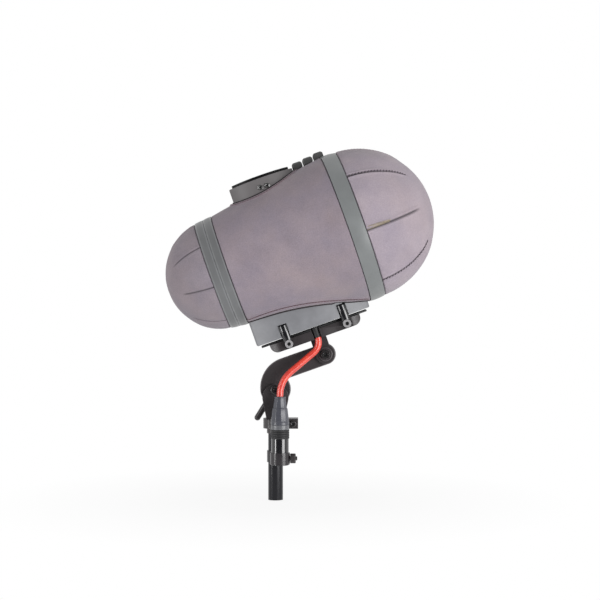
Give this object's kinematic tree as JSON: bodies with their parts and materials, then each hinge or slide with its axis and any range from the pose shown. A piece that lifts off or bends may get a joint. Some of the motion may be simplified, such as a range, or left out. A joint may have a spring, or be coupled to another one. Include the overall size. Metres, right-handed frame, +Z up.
{
  "type": "basket windscreen",
  "caption": "Fabric-covered basket windscreen with pull-off domed ends, on isolators and a two-pivot swivel arm, with a short cable, connector and pole stub.",
  "frame": {"origin": "centre of the pole's lower end", "axes": "+Z up along the pole, +X to the front of the windscreen, -Y to the side where the connector hangs"},
  "size_m": [0.2678, 0.152, 0.3497],
  "materials": {
    "knit": "stretched knit",
    "band": "moulded, satin",
    "saddle": "moulded, satin",
    "grip_rubber": "matt",
    "black_moulding": "moulded, fine grain",
    "black_gloss": "glossy",
    "black_rubber": "matt",
    "pole_finish": "black anodised, satin",
    "steel": "plated",
    "cable_jacket": "smooth jacket",
    "boot": "moulded",
    "light_ring": "moulded",
    "inner_plastic": "moulded",
    "bronze": "sintered"
  },
  "bodies": {
    "pole": {"pole_tube": "pole_finish", "pole_plug": "inner_plastic", "pole_ferrule": "black_moulding", "swivel_base": "black_moulding", "collar_screw": "steel", "base_bolt": "steel", "clip_body": "black_moulding", "xlr_shell": "black_gloss", "xlr_sleeve": "black_rubber", "xlr_insert": "inner_plastic", "xlr_pins": "steel", "xlr_ring": "light_ring", "xlr_boot": "boot", "cable_chuck": "inner_plastic"},
    "lever": {"lock_lever": "black_moulding"},
    "thumbscrew": {"clip_thumbscrew": "black_moulding"},
    "arm": {"swivel_arm": "black_moulding", "arm_bush_lower": "bronze", "arm_bush_upper": "bronze", "cable_tail": "cable_jacket"},
    "head": {"tilt_fork": "black_moulding", "fork_screws": "steel", "tilt_bolt": "steel", "tilt_cap": "black_moulding", "tilt_nut": "steel", "mount_bar": "black_moulding", "isolation_pad": "black_rubber", "post_screws": "steel", "cable_grommet": "black_rubber", "isolator_post_1": "black_gloss", "isolator_post_2": "black_gloss", "isolator_post_3": "black_gloss", "isolator_post_4": "black_gloss"},
    "basket": {"lower_saddle": "saddle", "isolator_bushes": "black_rubber", "upper_saddle": "saddle", "upper_bracket": "inner_plastic", "cover_plate": "black_moulding", "saddle_screws": "steel", "body_cover": "knit", "body_frame": "inner_plastic", "body_rear_band": "band", "front_ring": "band", "mic_rail": "inner_plastic", "front_lyre": "inner_plastic", "rear_lyre": "inner_plastic", "body_magnets": "steel", "grip_lug_1": "grip_rubber", "grip_lug_2": "grip_rubber", "grip_lug_3": "grip_rubber"},
    "front_pod": {"front_cover": "knit", "front_frame": "inner_plastic", "front_spigot": "inner_plastic", "front_magnets": "steel"},
    "rear_pod": {"rear_cover": "knit", "rear_frame": "inner_plastic", "rear_pod_band": "band", "rear_magnets": "steel"}
  },
  "joints": [
    {"name": "arm_tilt", "type": "hinge", "parent": "pole", "child": "arm", "pos_m": [0, 0, 0.1105], "axis": [0, 1, 0], "range_deg": [-40, 45], "deforming": ["cable_tail"]},
    {"name": "head_tilt", "type": "hinge", "parent": "arm", "child": "head", "pos_m": [0.0497, 0, 0.14569], "axis": [0, 1, 0], "range_deg": [-6, 80], "deforming": ["cable_tail"]},
    {"name": "isolator_float", "type": "slide", "parent": "head", "child": "basket", "axis": [-0.3338, 0, 0.9426], "range_m": [-0.0008, 0.003], "stiffness_N_per_m": 4000, "springref_m": 0.00093, "deforming": ["isolator_bushes"]},
    {"name": "front_pod_pull", "type": "slide", "parent": "basket", "child": "front_pod", "axis": [0.9426, 0, 0.3338], "range_m": [0, 0.1]},
    {"name": "rear_pod_pull", "type": "slide", "parent": "basket", "child": "rear_pod", "axis": [-0.9426, 0, -0.3338], "range_m": [0, 0.07]},
    {"name": "lever_turn", "type": "hinge", "parent": "pole", "child": "lever", "pos_m": [0, 0, 0.1105], "axis": [0, 1, 0], "range_deg": [0, 90]},
    {"name": "thumbscrew_turn", "type": "hinge", "parent": "pole", "child": "thumbscrew", "pos_m": [0, -0.02292, 0.04355], "axis": [1, 0, 0], "continuous": true}
  ]
}
